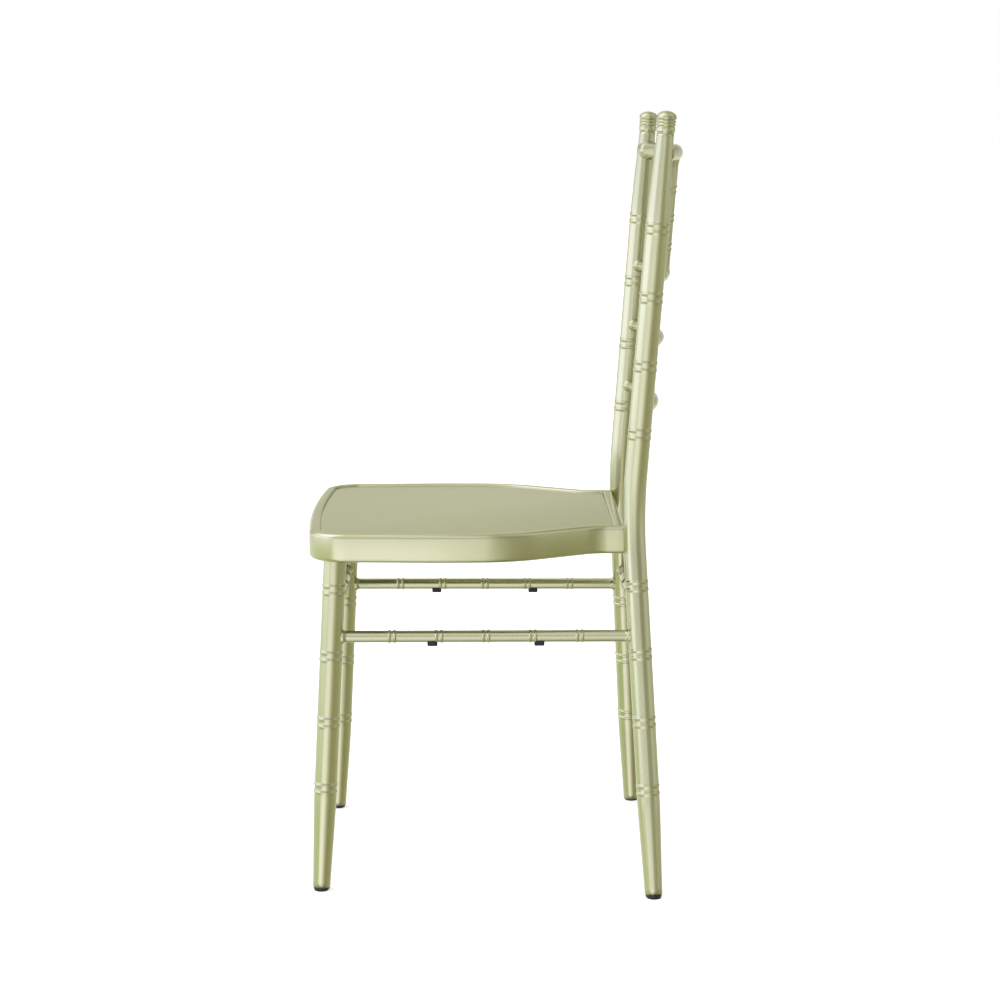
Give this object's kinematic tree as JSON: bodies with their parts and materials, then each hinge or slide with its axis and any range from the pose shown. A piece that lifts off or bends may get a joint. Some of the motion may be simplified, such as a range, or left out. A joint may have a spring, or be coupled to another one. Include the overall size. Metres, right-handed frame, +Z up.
{
  "type": "chiavari chair",
  "caption": "Metal stacking chair with turned-look tube legs, finials, a spindle back, bowed rails and a flat steel seat in pale green-gold paint.",
  "frame": {"origin": "on the floor, in the middle of the chair's outline seen from above", "axes": "+Z up, the chair faces -Y, +X is the sitter's left"},
  "size_m": [0.4456, 0.4526, 0.9214],
  "materials": {
    "frame_paint": "metallic satin",
    "black_plastic": "satin",
    "bumper_rubber": "matte"
  },
  "bodies": {
    "root": {"back_rail_lower": "frame_paint", "back_rail_middle": "frame_paint", "back_rail_upper": "frame_paint", "back_spindle_1": "frame_paint", "back_spindle_2": "frame_paint", "back_spindle_3": "frame_paint", "back_spindle_4": "frame_paint", "back_spindle_5": "frame_paint", "corner_plate_left": "frame_paint", "corner_plate_right": "frame_paint", "crest_rail": "frame_paint", "foot_glide_front_left": "black_plastic", "foot_glide_front_right": "black_plastic", "foot_glide_rear_left": "black_plastic", "foot_glide_rear_right": "black_plastic", "front_leg_left": "frame_paint", "front_leg_right": "frame_paint", "front_stretcher": "frame_paint", "post_finial_left": "frame_paint", "post_finial_right": "frame_paint", "rear_post_left": "frame_paint", "rear_post_right": "frame_paint", "rear_stretcher": "frame_paint", "seat_frame": "frame_paint", "seat_panel": "frame_paint", "side_stretcher_left": "frame_paint", "side_stretcher_right": "frame_paint", "stacking_bumper_front_left": "bumper_rubber", "stacking_bumper_front_right": "bumper_rubber", "stacking_bumper_rear_left": "bumper_rubber", "stacking_bumper_rear_right": "bumper_rubber"}
  },
  "joints": []
}
